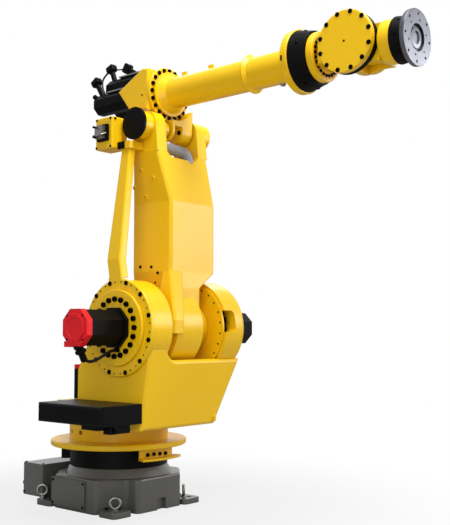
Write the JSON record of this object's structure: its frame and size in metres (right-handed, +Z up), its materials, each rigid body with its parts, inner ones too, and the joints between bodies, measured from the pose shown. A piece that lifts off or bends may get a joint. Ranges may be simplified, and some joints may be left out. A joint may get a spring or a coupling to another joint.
{
  "type": "six-axis industrial robot arm",
  "caption": "Floor-mounted articulated robot: cast base, slewing turret, lower arm with outboard strut, tubular forearm and three-axis wrist with a round tool flange.",
  "frame": {"origin": "on the floor, where the first turning axis meets the underside of the base", "axes": "+Z up along the first axis, +X the way the forearm reaches at rest, +Y to the arm's left"},
  "size_m": [1.8126, 0.947, 1.9],
  "materials": {
    "yellow_paint": "semi-gloss",
    "dark_grey_paint": "satin paint",
    "black_paint": "satin",
    "red_plastic": "semi-gloss",
    "zinc_steel": "satin",
    "ground_steel": "ground",
    "black_rubber": "matt"
  },
  "bodies": {
    "base": {"base_casting": "dark_grey_paint", "base_side_cover": "dark_grey_paint", "base_connector_box": "dark_grey_paint", "lifting_eyes": "zinc_steel", "slew_bearing": "black_paint"},
    "turret": {"turntable": "yellow_paint", "slew_stop": "yellow_paint", "lead_guide": "black_rubber", "turret_casting": "yellow_paint", "shoulder_drum": "yellow_paint", "shoulder_cap": "yellow_paint", "shoulder_motor": "black_paint", "shoulder_motor_cap": "red_plastic", "right_ring": "yellow_paint", "right_housing": "yellow_paint", "right_motor": "black_paint", "slew_motor": "black_paint", "slew_motor_cap": "red_plastic", "side_box": "black_paint", "side_box_feet": "black_paint"},
    "lower_arm": {"arm_casting": "yellow_paint", "outboard_strut": "yellow_paint", "strut_collar": "yellow_paint", "elbow_cover": "black_paint", "elbow_barrel": "yellow_paint", "junction_box": "yellow_paint", "junction_socket": "zinc_steel", "junction_bracket": "yellow_paint"},
    "forearm": {"elbow_casing": "yellow_paint", "forearm_tube": "yellow_paint", "forearm_end_disc": "yellow_paint", "roll_ring": "black_paint", "left_drive_motor": "black_paint", "right_drive_motor": "black_paint", "upper_drive_motor": "black_paint", "drive_plates": "zinc_steel", "drive_connectors": "black_paint"},
    "wrist_roll": {"roll_hub": "yellow_paint", "left_wrist_cheek": "yellow_paint", "right_wrist_cheek": "yellow_paint", "left_wrist_seal": "black_rubber", "right_wrist_seal": "black_rubber", "left_wrist_cover": "yellow_paint", "right_wrist_cover": "yellow_paint"},
    "wrist_pitch": {"pitch_drum": "yellow_paint", "tool_ring": "black_paint"},
    "tool": {"tool_flange": "ground_steel"}
  },
  "joints": [
    {"name": "slew", "type": "hinge", "parent": "base", "child": "turret", "pos_m": [0, 0, 0.25], "axis": [0, 0, 1], "range_deg": [-180, 180]},
    {"name": "shoulder", "type": "hinge", "parent": "turret", "child": "lower_arm", "pos_m": [0.28, 0, 0.735], "axis": [0, 1, 0], "range_deg": [-60, 76]},
    {"name": "elbow", "type": "hinge", "parent": "lower_arm", "child": "forearm", "pos_m": [0.28, 0, 1.548], "axis": [0, -1, 0], "range_deg": [-80, 80]},
    {"name": "wrist_roll", "type": "hinge", "parent": "forearm", "child": "wrist_roll", "pos_m": [1.214, 0, 1.7], "axis": [1, 0, 0], "range_deg": [-180, 180]},
    {"name": "wrist_pitch", "type": "hinge", "parent": "wrist_roll", "child": "wrist_pitch", "pos_m": [1.214, 0, 1.7], "axis": [0, -1, 0], "range_deg": [-111, 117]},
    {"name": "tool_roll", "type": "hinge", "parent": "wrist_pitch", "child": "tool", "pos_m": [1.42771, 0, 1.6888], "axis": [0.9986, 0, -0.0523], "range_deg": [-360, 360]}
  ]
}
